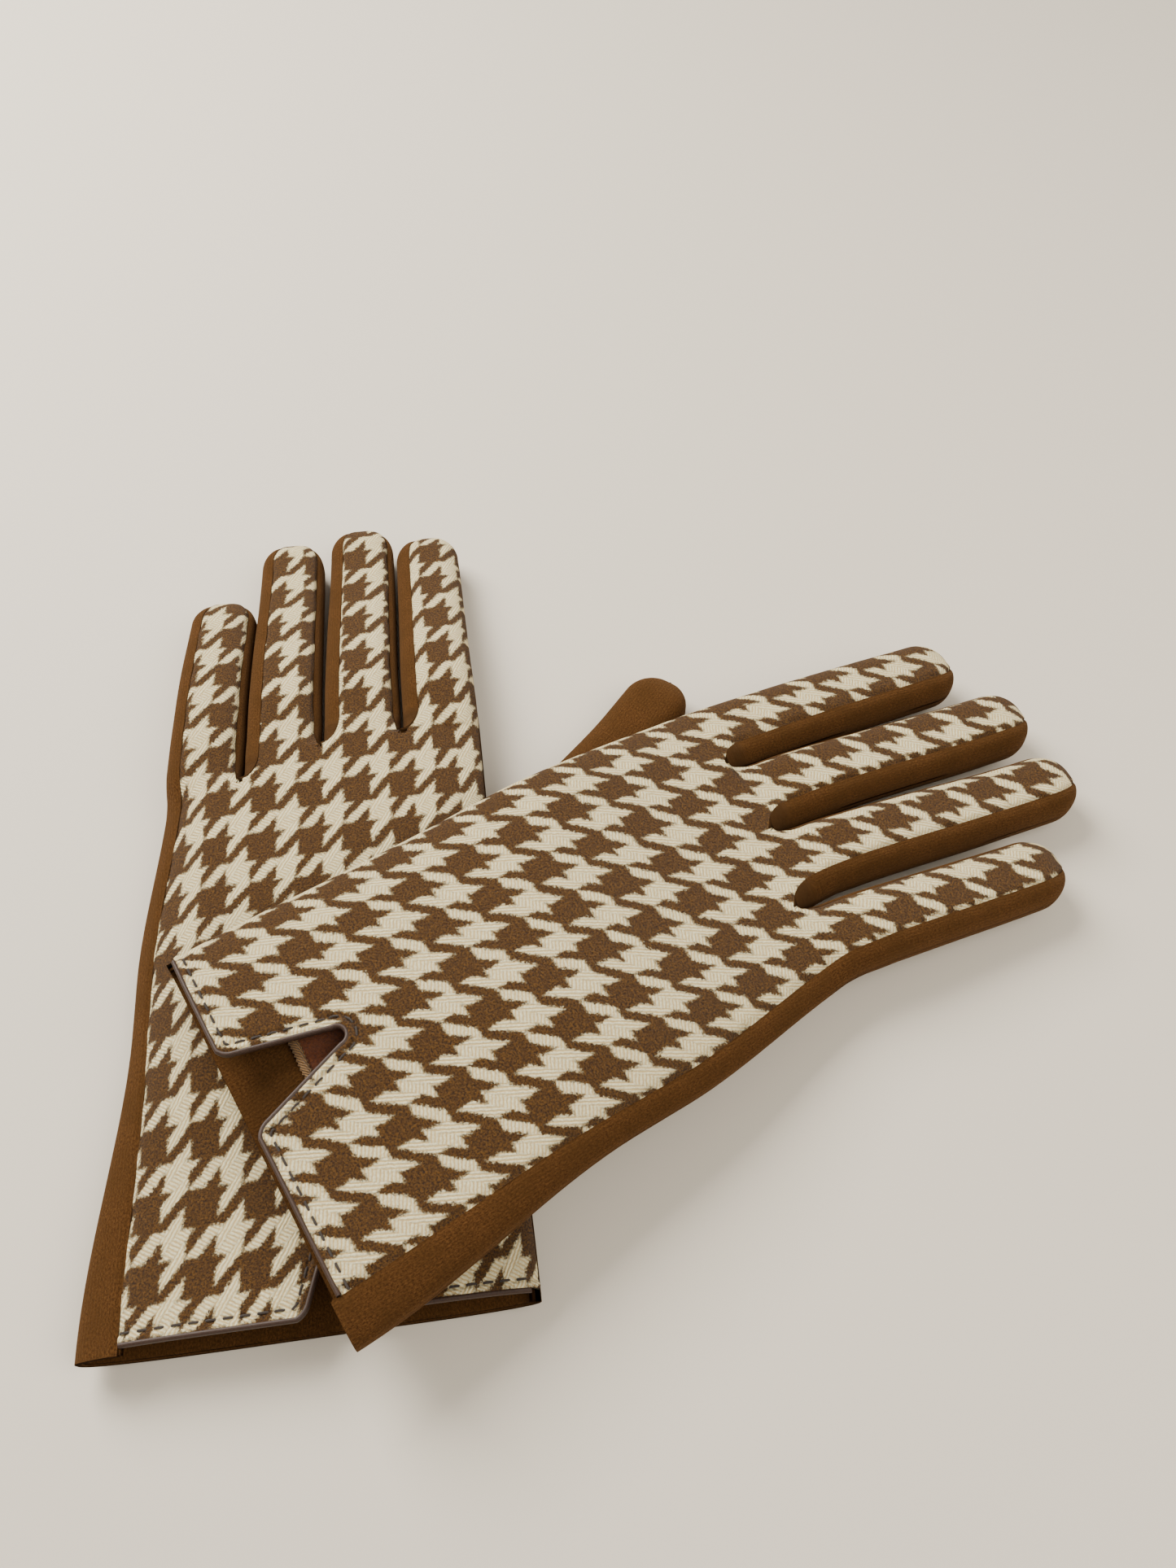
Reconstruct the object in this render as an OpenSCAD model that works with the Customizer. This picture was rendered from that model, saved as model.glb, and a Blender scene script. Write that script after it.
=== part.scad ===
// Pair of cloth gloves, lying palm down and crossed: the left glove is underneath, the right one on top.
// Millimetres. Each glove is drawn in its own frame: x across the hand, from the thumb's side to the
// little finger's side, y from the cuff to the fingertips, z up. place() then sets it in the pair's frame.

/* [Hand] */
// length from the cuff edge of the back to the crotch of the middle finger
hand_len = 153; // [120:1:190]
// height of the flattened hand
hand_h = 13; // [8:0.5:20]
// extra width at the heel of the hand, on the little finger's side
heel = 5; // [0:0.5:12]
// how far the cuff flares out on the little finger's side
cuff_flare = 6; // [0:0.5:15]
// how far the cuff flares out on the thumb's side
thumb_flare = 1; // [0:0.5:8]
// how far the palm reaches past the back at the cuff
palm_past = 2; // [0:0.5:6]

/* [Fingers] */
// width of the index finger at its root
index_w = 21.5; // [16:0.5:28]
// width of the middle finger at its root
middle_w = 21.5; // [16:0.5:28]
// width of the ring finger at its root
ring_w = 21; // [16:0.5:28]
// width of the little finger at its root
little_w = 21; // [14:0.5:26]
// length of the index finger from its crotch
index_len = 78; // [55:1:100]
// length of the middle finger from its crotch
middle_len = 83; // [60:1:110]
// length of the ring finger from its crotch
ring_len = 82; // [55:1:105]
// length of the little finger from its crotch
little_len = 68; // [45:1:90]
// how far the index finger's crotch is behind the middle finger's
index_drop = 1; // [0:0.5:8]
// how far the ring finger's crotch is behind the middle finger's
ring_drop = 3; // [0:0.5:10]
// how far the little finger's crotch is behind the middle finger's
little_drop = 12; // [4:0.5:20]
// height of a finger at its middle
finger_h = 14; // [9:0.5:20]
// gap between neighbouring fingers at their roots
finger_gap = 0.7; // [0.5:0.1:3]
// share of its width that a finger loses from root to tip
finger_taper = 0.09; // [0.05:0.01:0.25]
// length of a finger's rounded end
finger_round = 10; // [6:0.5:14]
// share of a finger's length that is before its middle joint
middle_joint = 0.45; // [0.35:0.01:0.6]

/* [Thumb] */
// length of the thumb past its root seam
thumb_len = 66; // [45:1:85]
// width of the thumb
thumb_w = 21; // [16:0.5:28]
// height of the right thumb, which lies free
right_thumb_h = 11; // [7:0.5:16]
// height of the left thumb, pressed flat under its palm
left_thumb_h = 5; // [4:0.5:8]
// distance of the thumb's root from the cuff
thumb_from = 97; // [75:1:115]
// distance of the thumb's root from the hand's middle line
thumb_off = 34; // [25:1:40]
// length of the gusset behind the thumb's root
gusset_len = 14; // [8:1:24]

/* [Cloth] */
// thickness of the woven cloth on the back
weave_t = 1.6; // [1:0.1:2.5]
// thickness of the suede cloth on the palm and between the fingers
suede_t = 1.4; // [1:0.1:2.5]
// thickness of the fleece lining
fleece_t = 0.8; // [0.6:0.1:1.5]
// width of the palm's suede that shows on the back, at the knuckles
strip_w = 5; // [3:0.5:10]
// the same at the cuff
strip_cuff_w = 10; // [5:0.5:16]
// depth of the hem turned in at the palm's cuff
hem_d = 14; // [10:1:30]

/* [Cuff notch] */
// width of the notch in the back's cuff edge
notch_w = 20; // [10:1:30]
// depth of the notch
notch_d = 24; // [12:1:35]
// width of the notch's blunt end
notch_end_w = 3.5; // [2:0.5:8]
// distance of the notch from the hand's middle line, towards the thumb
notch_off = 4; // [0:0.5:15]

/* [Edging] */
// width of the binding past the cloth's edge
binding_w = 1.25; // [0.8:0.05:3]
// how far the binding stands above and below the cloth
binding_rise = 0.2; // [0.1:0.05:0.6]
// length of one topstitch
stitch_len = 2.4; // [1:0.1:4]
// distance from one topstitch to the next
stitch_pitch = 3.6; // [2.5:0.1:6]
// width and height of the thread
stitch_t = 0.5; // [0.3:0.05:0.8]
// distance of the topstitching from the edge
stitch_in = 1.9; // [1.5:0.1:5]

/* [Pose] */
// angle between the two gloves
cross_angle = 64.6; // [40:0.1:90]
// how far the right cuff's middle lies to the left of the left cuff's middle
right_back = 14.8; // [0:0.1:40]
// how far the right cuff's middle lies past the left cuff's middle
right_up = 40.7; // [20:0.1:70]
// angle of the right fingers to their hand, towards the little finger
right_bend = 11.5; // [0:0.5:20]
// angle of the left thumb across its palm
left_thumb_turn = 54; // [50:1:62]
// angle of the right thumb away from its hand
right_thumb_turn = 24; // [10:1:40]

/* [Joints] */
// how far a finger folds at its root
root_flex = 60; // [30:1:80]
// how far a finger bends back at its root
root_back = 15; // [0:1:25]
// how far a finger folds at its middle joint
mid_flex = 75; // [30:1:90]

/* [Hidden] */
// clearance on each side of a joint, and between pieces of different bodies
clear = 0.3;
// squareness of the hand's and of a finger's section
hand_n = 3;
finger_n = 2.6;
// share by which a section is flattened above and below
flat_k = 1.06;
finger_w = [index_w, middle_w, ring_w, little_w];
finger_len = [index_len, middle_len, ring_len, little_len];
finger_drop = [index_drop, 0, ring_drop, little_drop];
left_lean = [0.5, -0.8, -1, -2.5];
right_lean = [right_bend - 1.5, right_bend, right_bend + 1, right_bend + 0.5];
knuckle_w = index_w + middle_w + ring_w + little_w + 3 * finger_gap;
root_kb = tan(root_flex / 2 + 1);
root_kt = tan(root_back / 2 + 1);
mid_kb = tan(mid_flex / 2);
// height by which the left hand is raised by its thumb
stack = left_thumb_h + clear;
// where the top glove's drape starts and ends, across the pair
drape_from = knuckle_w / 2 + 2.5;
drape_len = 80;
drape_low = 5;
tip_low = 1;
// where the left hand starts to rise over its thumb, and over what length, as shares of hand_len
rise_from = 0.2;
rise_len = 0.26;
// how far past the hand it starts to come down, and over what length
fall_past = 12;
fall_len = 60;
// where the rise fades out towards the little finger, and over what width
fade_from = 28;
fade_len = 22;
// the right hand's share of the left hand's rise at its cuff, and where along the pair the rest comes in
cuff_share = 0.3;
share_from = 15;
share_len = 50;
// length over which the right fingertips come down
tip_fall = 70;
// lengths of the outline's curves, as shares of hand_len
thumb_flare_len = 0.4;
cuff_flare_len = 0.46;
heel_from = 0.55;
strip_len = 0.5;
// length over which a finger turns from the hand's line and takes its own height
turn_len = 15;
// length over which the right thumb comes down to the table
thumb_fall = 45;
// share of hand_len where the hand's rows start to close in on its sloped end
end_from = 0.75;
// seams on a finger, as shares of its half width: on the top, and underneath
seam_thumb = -0.88;
seam_little = 0.55;
seam_under = 0.75;

brown = "#6b4a2b";
check = "#b09872";
piping = "#4a3428";
fleece = "#6e4224";

// ---------- numbers ----------
// a smooth step from 0 to 1
function sm(t) = let (x = min(1, max(0, t))) x * x * (3 - 2 * x);
function mix(a, b, t) = a + (b - a) * t;
function total(list, n) = n == 0 ? 0 : list[n - 1] + total(list, n - 1);
// height of a section at x, from 0 at its edge to 1 at its flattened middle
function crown(x, n) = min(1, flat_k * pow(max(0, 1 - pow(abs(x), n)), 1 / n));

// ---------- the hand's outline and height ----------
function root_u(i) = hand_len - finger_drop[i];
function root_v(i) = -knuckle_w / 2 + total(finger_w, i) + i * finger_gap + finger_w[i] / 2;
function crotch_v(i) = root_v(i) + (finger_w[i] + finger_gap) / 2;
function thumb_edge(u) = -knuckle_w / 2 - thumb_flare * (1 - sm(u / (thumb_flare_len * hand_len)));
function little_edge(u) = knuckle_w / 2
    + heel * (1 - sm((u - heel_from * hand_len) / (root_u(3) - heel_from * hand_len)))
    + cuff_flare * (1 - sm(u / (cuff_flare_len * hand_len)));
function hand_c(u) = (thumb_edge(u) + little_edge(u)) / 2;
function hand_a(u) = (little_edge(u) - thumb_edge(u)) / 2;
function strip_v(u) = little_edge(u) - mix(strip_cuff_w, strip_w, sm(u / (strip_len * hand_len)));

// a point of the right glove's plan in the pair's frame
function right_x(v, u) = -right_back + v * cos(cross_angle) + u * sin(cross_angle);
function right_y(v, u) = right_up - v * sin(cross_angle) + u * cos(cross_angle);

// height of the underside above the table
function left_lift(v, u) = stack * sm((u - rise_from * hand_len) / (rise_len * hand_len))
    * (1 - sm((u - hand_len - fall_past) / fall_len)) * (1 - sm((v - fade_from) / fade_len));
function right_lift(v, u) =
    let (x = right_x(v, u), y = right_y(v, u))
    let (over = hand_h + clear + stack * mix(cuff_share, 1, sm((y - share_from) / share_len)))
    let (low = mix(drape_low, tip_low, sm((x - drape_from - drape_len) / tip_fall)))
    mix(over, low, sm((x - drape_from) / drape_len));
function lift(side, v, u) = side == "left" ? left_lift(v, u) : right_lift(v, u);

// the finger in front of v
function finger_at(v) = v < crotch_v(0) ? 0 : v < crotch_v(1) ? 1 : v < crotch_v(2) ? 2 : 3;

// A point of the hand's section at v, u, on the top (up = 1) or underneath (up = -1), moved in by t.
// In the last quarter the rows close in on the sloped end, and back is the share left to go.
function hand_pt(side, v, u, up, t, back = -1) =
    let (b = hand_h / 2, x = max(-1, min(1, (v - hand_c(u)) / hand_a(u))))
    let (h = up * (b - t) * crown(x, hand_n))
    let (i = finger_at(v), off = lift(side, v, root_u(i)) - lift(side, root_v(i), root_u(i)))
    let (slope = clear + max(-(h + off) * root_kb, (h + off) * root_kt))
    let (row = back < 0 ? u : mix(root_u(i) - slope, end_from * hand_len, back))
    [hand_c(u) + (hand_a(u) - t * pow(abs(x), 3)) * x, row, lift(side, v, row) + b + h];

// ---------- solids from grids of points ----------
// A thick sheet: outer and inner are grids of points, holes lists the cells left out, and a closed
// sheet joins its last column to its first.
module sheet(outer, inner, holes = [], closed = false) {
    rows = len(outer);
    cols = len(outer[0]);
    cells = closed ? cols : cols - 1;
    size = rows * cols;
    function id(i, j) = i * cols + (j % cols);
    function gone(i, j) = i < 0 || i >= rows - 1
        || (!closed && (j < 0 || j >= cells))
        || len([for (h = holes) if (h[0] == i && h[1] == (j + cells) % cells) 1]) > 0;
    faces = [
        for (i = [0 : rows - 2], j = [0 : cells - 1])
            if (!gone(i, j))
                let (a = id(i, j), b = id(i + 1, j), c = id(i + 1, j + 1), d = id(i, j + 1))
                each [
                    [a, b, c, d],
                    [a + size, d + size, c + size, b + size],
                    if (gone(i, j - 1)) [b, a, a + size, b + size],
                    if (gone(i + 1, j)) [c, b, b + size, c + size],
                    if (gone(i, j + 1)) [c, c + size, d + size, d],
                    if (gone(i - 1, j)) [a, d, d + size, a + size]
                ]
    ];
    polyhedron(points = concat([for (r = outer) each r], [for (r = inner) each r]), faces = faces);
}

// A bar through a list of rings with the same even number of points, capped at both ends.
module bar(rings) {
    n = len(rings[0]);
    m = len(rings);
    walls = [
        for (i = [0 : m - 2], j = [0 : n - 1])
            [i * n + j, (i + 1) * n + j, (i + 1) * n + (j + 1) % n, i * n + (j + 1) % n]
    ];
    last = (m - 1) * n;
    caps = [
        for (j = [0 : n / 2 - 2])
            each [
                [j, j + 1, n - 2 - j, n - 1 - j],
                [last + n - 1 - j, last + n - 2 - j, last + j + 1, last + j]
            ]
    ];
    polyhedron(points = [for (r = rings) each r], faces = concat(walls, caps));
}

module place(side) {
    if (side == "left") {
        mirror([1, 0, 0]) children();
    }
    if (side == "right") {
        translate([-right_back, right_up, 0]) rotate([0, 0, -cross_angle]) children();
    }
}

// ---------- the hand ----------
hand_rows = [0.3, 8, 16, notch_d, 40, 60, 80, 92, 104, end_from * hand_len];
end_rows = [0.55, 0.2, 0];

// edges of the notch at u, and past it the two lines that carry on from its blunt end
function notch_side(u, s) = -notch_off + s * mix(notch_w, notch_end_w, min(1, u / notch_d)) / 2;

// the back's columns at u, from the thumb's edge to the seam with the strip
function back_vs(u) =
    let (l = notch_side(u, -1), r = notch_side(u, 1), e = thumb_edge(u), s = strip_v(u))
    let (j = max(0.05, (crotch_v(1) - r) / (s - r) + 0.001))
    let (k = (crotch_v(2) - r) / (s - r), g = finger_gap / 2 / (s - r))
    concat(
        [for (f = [0, 0.012, 0.06, 0.17, 0.42, 1]) mix(e, l, f)],
        [for (f = [0, j, (j + k) / 2, k - g, k + g, 1]) mix(r, s, f)]
    );
// the palm's columns at u, from the seam on the back, round the edge and underneath to the thumb's edge
function palm_cols(u) =
    let (l = little_edge(u), e = thumb_edge(u), s = strip_v(u), g = finger_gap / 2)
    concat(
        [for (f = [0, 0.5, 0.86, 1]) [mix(s, l, f), 1]],
        [[mix(s, l, 0.86), -1], [mix(s, l, 0.4), -1], [crotch_v(2) + g, -1], [crotch_v(2) - g, -1]],
        [[crotch_v(1), -1], [crotch_v(0) - 0.01, -1], [mix(e, 0, 0.17), -1], [mix(e, 0, 0.05), -1], [e, -1]]
    );
// rings of points for a sheet of the hand: cols(u) gives [v, up] pairs
function hand_grid(side, start, t, palm) =
    [
        for (k = [0 : len(hand_rows) + len(end_rows) - 1])
            let (far = k >= len(hand_rows))
            let (u = far ? mix(root_u(3), end_from * hand_len, end_rows[k - len(hand_rows)]) : hand_rows[k])
            let (cols = palm ? palm_cols(u) : [for (v = back_vs(u)) [v, 1]])
            [for (c = cols)
                hand_pt(side, c[0], k == 0 ? start : u, c[1], t, far ? end_rows[k - len(hand_rows)] : -1)]
    ];

module back_panel(side) {
    cut = [for (i = [0 : 2]) [i, 5]];
    color(check) place(side)
        sheet(hand_grid(side, 0.3, 0, false), hand_grid(side, 0.3, weave_t, false), cut);
}

module palm_panel(side) {
    color(brown) place(side)
        sheet(hand_grid(side, -palm_past, 0, true), hand_grid(side, -palm_past, suede_t, true));
}

// the hem turned up inside the palm's cuff
module palm_hem(side) {
    rows = [-palm_past + 0.3, hem_d / 2, hem_d];
    function grid(t) = [for (u = rows) [for (c = palm_cols(u)) hand_pt(side, c[0], u, c[1], t)]];
    color(brown) place(side) sheet(grid(suede_t + 0.05), grid(2 * suede_t));
}

// the fleece sleeve inside the hand; its mouth slopes back under the notch
module lining(side) {
    t = max(weave_t, suede_t) + 0.25;
    first = hem_d + 2;
    far = notch_d + 3;
    function cols(u) =
        let (p = palm_cols(u))
        concat([for (v = back_vs(u)) [v, 1]], [for (k = [1 : len(p) - 2]) p[k]]);
    function mouth(c) = let (x = max(-1, min(1, (c[0] - hand_c(far)) / hand_a(far))))
        mix(first, far, (1 + c[1] * crown(x, hand_n)) / 2);
    function grid(d) = concat(
        [[for (c = cols(far)) hand_pt(side, c[0], mouth(c), c[1], d)]],
        [for (k = [4 : len(hand_rows) - 1])
            let (u = hand_rows[k])
            [for (c = cols(u)) hand_pt(side, c[0], u, c[1], d)]],
        [for (b = [end_rows[0], 0.4])
            let (u = mix(root_u(3), end_from * hand_len, b))
            [for (c = cols(u)) hand_pt(side, c[0], u, c[1], d, b)]]
    );
    color(fleece) place(side) sheet(grid(t), grid(t + fleece_t), closed = true);
}

// folded strips that line the three crotches, between the ends of the hand's back and palm
module finger_webs(side) {
    color(brown) place(side)
        for (i = [0 : 2]) {
            v = crotch_v(i);
            u = min(root_u(i), root_u(i + 1)) - clear - 0.1;
            b = hand_h / 2;
            in = max(weave_t, suede_t) + 0.8;
            outline = [
                [u - 1.2 - (b - in) * root_kb, in - b], [u - 1.2, 0], [u - 1.2 - (b - in) * root_kt, b - in],
                [u - 1.2 - suede_t - (b - in) * root_kt, b - in], [u - 1.2 - suede_t, 0],
                [u - 1.2 - suede_t - (b - in) * root_kb, in - b]
            ];
            bar([for (x = [-2.5, 2.5])
                let (z = lift(side, v + x, u) + b)
                [for (p = outline) [v + x, p[0], z + p[1]]]]);
        }
}

// points along the back's cuff edge and round its notch: [v, u, how far out along v, along u]
function edge_path() =
    let (l = notch_side(0, -1), r = notch_side(0, 1), e = thumb_edge(0), s = strip_v(0))
    let (slant = atan2((notch_w - notch_end_w) / 2, notch_d))
    concat(
        [for (f = [0.045, 0.09, 0.17, 0.42, 0.7]) [mix(e, l, f), 0.3, 0, -1]],
        [[l, 0.3, 0.7, -0.7]],
        [[notch_side(notch_d / 2, -1), notch_d / 2, cos(slant), -sin(slant)]],
        [[notch_side(notch_d, -1), notch_d, 0.7, -0.7]],
        [[notch_side(notch_d, 1), notch_d, -0.7, -0.7]],
        [[notch_side(notch_d / 2, 1), notch_d / 2, -cos(slant), -sin(slant)]],
        [[r, 0.3, -0.7, -0.7]],
        [for (f = [0.25, 0.5, 0.75, 0.98]) [mix(r, s, f), 0.3, 0, -1]]
    );

module cuff_binding(side) {
    function ring(p) =
        let (top = hand_pt(side, p[0], p[1], 1, 0), low = hand_pt(side, p[0], p[1], 1, weave_t))
        let (a = top[2] + binding_rise, b = min(low[2], top[2] - 0.8) - binding_rise)
        let (v = p[0] + p[2] * 0.15, u = p[1] + p[3] * 0.15)
        let (w = p[0] + p[2] * binding_w, x = p[1] + p[3] * binding_w)
        [[v, u, a], [w, x, a], [w, x, b], [v, u, b]];
    color(piping) place(side) bar([for (p = edge_path()) ring(p)]);
}

// one row of topstitches from p to q, in plan
module stitch_row(side, p, q) {
    run = norm(q - p);
    n = floor(run / stitch_pitch);
    half = (q - p) / run * stitch_len / 2;
    w = [-(q - p)[1], (q - p)[0]] / run * stitch_t / 2;
    function z(c) = hand_pt(side, c[0], c[1], 1, 0)[2];
    for (k = [0 : n - 1]) {
        at = p + (q - p) * (k + 0.5) / n;
        a = at - half;
        b = at + half;
        bar([for (c = [a, b]) [
            [c[0] - w[0], c[1] - w[1], z(c - w) + 0.06], [c[0] + w[0], c[1] + w[1], z(c + w) + 0.06],
            [c[0] + w[0], c[1] + w[1], z(c + w) + stitch_t], [c[0] - w[0], c[1] - w[1], z(c - w) + stitch_t]
        ]]);
    }
}

// the topstitching on the back, and the overcast seam between hem and lining
module cuff_threads(side) {
    e = thumb_edge(0);
    s = strip_v(0);
    l = notch_side(0, -1) - stitch_in;
    r = notch_side(0, 1) + stitch_in;
    far = notch_d + stitch_in / 2;
    tip = notch_end_w / 2 + stitch_in / 2;
    color(piping) place(side) {
        stitch_row(side, [e + 3, stitch_in], [l, stitch_in]);
        stitch_row(side, [l, stitch_in], [-notch_off - tip, far]);
        stitch_row(side, [-notch_off + tip, far], [r, stitch_in]);
        stitch_row(side, [r, stitch_in], [s - 1, stitch_in]);
        bar([for (f = [-0.8, -0.4, 0, 0.4, 0.8])
            let (v = hand_c(hem_d) + f * hand_a(hem_d), u = hem_d + 0.2)
            let (z = hand_pt(side, v, u, -1, suede_t)[2] + 0.6)
            [[v, u, z], [v, u + 1.6, z], [v, u + 1.6, z + 1.8], [v, u, z + 1.8]]]);
    }
}

// ---------- fingers ----------
function lean(side, i) = side == "left" ? left_lean[i] : right_lean[i];
function mid_s(i) = finger_len[i] * middle_joint;

// A point of a finger at s from its root: x from -1 at the thumb's side to 1, up as for the hand, moved
// in by t, with q from 0 to 1 round the end, and slope = [share of root's slope, share of mid's slope].
function finger_pt(side, i, s, x, up, t, q, slope) =
    let (turn = lean(side, i), run = s + (finger_round - t) * q)
    let (twist = turn * min(1, run / turn_len), r = sqrt(max(0, 1 - q * q)))
    let (a = (finger_w[i] / 2 * (1 - finger_taper * run / finger_len[i]) * cos(twist) - t) * r)
    let (full = mix(hand_h, finger_h, sm(run / turn_len)) / 2, b = (full - t) * r)
    let (h = up * b * crown(x, finger_n))
    let (root = clear + (h < 0 ? -h * root_kb : h * root_kt), mid = clear + (h < 0 ? -h * mid_kb : 0))
    let (along = run + slope[0] * root + slope[1] * mid)
    let (v = root_v(i) + along * sin(turn), u = root_u(i) + along * cos(turn))
    let (z = lift(side, root_v(i) + run * sin(turn), root_u(i) + run * cos(turn)))
    [v + a * x * cos(twist), u - a * x * sin(twist), z + full + h];

// rows of a finger's base: [s, q, slope]
function base_rows(i) = [for (f = [0, 0.35, 0.7, 1]) [f * mid_s(i), 0, [1 - f, -f]]];
// rows of a finger's tip
function tip_rows(i) =
    let (flat = finger_len[i] - finger_round)
    concat(
        [for (f = [0, 0.5, 1]) [mix(mid_s(i), flat, f), 0, [0, 1 - f]]],
        [for (q = [0.5, 0.8, 0.95, 1]) [flat, q, [0, 0]]]
    );

// the columns of a finger's four panels, each as [x, up]
function back_cols(i) = i == 0
    ? [[-1, 1], [-0.96, 1], [-0.75, 1], [-0.2, 1], [0.25, 1], [seam_little, 1]]
    : [[seam_thumb, 1], [-0.6, 1], [-0.15, 1], [0.25, 1], [seam_little, 1]];
little_side = [[seam_little, 1], [0.85, 1], [1, 1], [0.94, -1], [seam_under, -1]];
thumb_side = [[-seam_under, -1], [-0.94, -1], [-1, 1], [seam_thumb, 1]];
under = [[seam_under, -1], [0.3, -1], [-0.3, -1], [-seam_under, -1]];
function palm_cols_of(i) = i == 0 ? concat(under, [[-0.95, -1], [-1, -1]])
    : i == 3 ? concat(little_side, [for (k = [1 : 3]) under[k]]) : under;

module finger_sheet(side, i, rows, cols, t) {
    outer = [for (r = rows) [for (c = cols) finger_pt(side, i, r[0], c[0], c[1], 0, r[1], r[2])]];
    inner = [for (r = rows) [for (c = cols) finger_pt(side, i, r[0], c[0], c[1], t, r[1], r[2])]];
    sheet(outer, inner);
}

module finger_back(side, i) {
    color(check) place(side) finger_sheet(side, i, base_rows(i), back_cols(i), weave_t);
}

module finger_palm(side, i) {
    color(brown) place(side) finger_sheet(side, i, base_rows(i), palm_cols_of(i), weave_t);
}

// the strips between this finger and its neighbours
module finger_sides(side, i) {
    color(brown) place(side) {
        if (i > 0) {
            finger_sheet(side, i, base_rows(i), thumb_side, weave_t);
        }
        if (i < 3) {
            finger_sheet(side, i, base_rows(i), little_side, weave_t);
        }
    }
}

module finger_tip_back(side, i) {
    color(check) place(side) finger_sheet(side, i, tip_rows(i), back_cols(i), weave_t);
}

// the palm's part of the tip, with the ends of the side strips
module finger_tip_palm(side, i) {
    color(brown) place(side) {
        finger_sheet(side, i, tip_rows(i), palm_cols_of(i), weave_t);
        if (i > 0) {
            finger_sheet(side, i, tip_rows(i), thumb_side, weave_t);
        }
        if (i < 3) {
            finger_sheet(side, i, tip_rows(i), little_side, weave_t);
        }
    }
}

// ---------- thumb ----------
thumb_cols = [
    [-1, 1], [-0.93, 1], [-0.6, 1], [0, 1], [0.6, 1], [0.93, 1],
    [1, 1], [0.93, -1], [0.6, -1], [0, -1], [-0.6, -1], [-0.93, -1]
];
function thumb_turn(side) = side == "left" ? left_thumb_turn : -right_thumb_turn;
function thumb_h(side) = side == "left" ? left_thumb_h : right_thumb_h;
// height of the thumb's underside at s from its root
function thumb_lift(side, s) = side == "left" ? 0
    : (right_lift(-thumb_off, thumb_from) - right_thumb_h - 2 * clear) * (1 - sm(s / thumb_fall));

// a point of the thumb, as for a finger
function thumb_pt(side, s, x, up, t, q, slope) =
    let (turn = thumb_turn(side), run = s + (finger_round - t) * q, r = sqrt(max(0, 1 - q * q)))
    let (a = (thumb_w / 2 * (1 - finger_taper * run / thumb_len) - t) * r)
    let (full = thumb_h(side) / 2, b = (full - t) * r, h = up * b * crown(x, finger_n))
    let (mid = clear + (h < 0 ? -h * mid_kb : 0), along = run + slope * mid)
    [
        -thumb_off + along * sin(turn) + a * x * cos(turn),
        thumb_from + along * cos(turn) - a * x * sin(turn),
        thumb_lift(side, run) + full + h
    ];

module thumb_tube(side, rows) {
    t = min(suede_t, 0.3 * thumb_h(side));
    outer = [for (r = rows) [for (c = thumb_cols) thumb_pt(side, r[0], c[0], c[1], 0, r[1], r[2])]];
    inner = [for (r = rows) [for (c = thumb_cols) thumb_pt(side, r[0], c[0], c[1], t, r[1], r[2])]];
    color(brown) place(side) sheet(outer, inner, closed = true);
}

module thumb_base(side) {
    m = thumb_len * middle_joint;
    thumb_tube(side, [for (f = [0, 0.35, 0.7, 1]) [mix(clear, m, f), 0, -f]]);
}

module thumb_tip(side) {
    m = thumb_len * middle_joint;
    flat = thumb_len - finger_round;
    thumb_tube(side, concat(
        [for (f = [0, 0.5, 1]) [mix(m, flat, f), 0, 1 - f]],
        [for (q = [0.5, 0.8, 0.95, 1]) [flat, q, 0]]
    ));
}

// the gusset: a cup behind the thumb's root that opens into the palm above it
module thumb_gusset(side) {
    t = min(suede_t, 0.3 * thumb_h(side));
    turn = thumb_turn(side);
    full = thumb_h(side) / 2;
    function pt(f, x, low, d) =
        let (r = sqrt(1 - f * f), along = -f * (gusset_len - d) - clear, a = (thumb_w / 2 - d) * r)
        let (v = -thumb_off + along * sin(turn) + a * x * cos(turn))
        let (u = thumb_from + along * cos(turn) - a * x * sin(turn))
        let (top = hand_pt(side, v, u, -1, 0)[2] - 0.7, h = (full - d) * crown(x, finger_n) * r)
        [v, u, low == 0 ? top : thumb_lift(side, 0) + full - h * low];
    cols = [[1, 0], [1, 0.01], [0.93, 1], [0.6, 1], [0, 1], [-0.6, 1], [-0.93, 1], [-1, 0.01], [-1, 0]];
    fs = [0.97, 0.85, 0.5, 0];
    color(brown) place(side)
        sheet(
            [for (f = fs) [for (c = cols) pt(f, c[0], c[1], 0)]],
            [for (f = fs) [for (c = cols) pt(f, c[0], c[1], t)]]
        );
}

back_panel("left");  // left_back_panel
palm_panel("left");  // left_palm_panel
finger_webs("left");  // left_finger_webs
lining("left");  // left_lining
cuff_binding("left");  // left_cuff_binding
cuff_threads("left");  // left_cuff_threads
palm_hem("left");  // left_palm_hem
thumb_gusset("left");  // left_thumb_gusset
thumb_base("left");  // left_thumb_base
thumb_tip("left");  // left_thumb_tip
finger_back("left", 0);  // left_index_back
finger_palm("left", 0);  // left_index_palm
finger_sides("left", 0);  // left_index_sides
finger_tip_back("left", 0);  // left_index_tip_back
finger_tip_palm("left", 0);  // left_index_tip_palm
finger_back("left", 1);  // left_middle_back
finger_palm("left", 1);  // left_middle_palm
finger_sides("left", 1);  // left_middle_sides
finger_tip_back("left", 1);  // left_middle_tip_back
finger_tip_palm("left", 1);  // left_middle_tip_palm
finger_back("left", 2);  // left_ring_back
finger_palm("left", 2);  // left_ring_palm
finger_sides("left", 2);  // left_ring_sides
finger_tip_back("left", 2);  // left_ring_tip_back
finger_tip_palm("left", 2);  // left_ring_tip_palm
finger_back("left", 3);  // left_little_back
finger_palm("left", 3);  // left_little_palm
finger_sides("left", 3);  // left_little_sides
finger_tip_back("left", 3);  // left_little_tip_back
finger_tip_palm("left", 3);  // left_little_tip_palm
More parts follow.
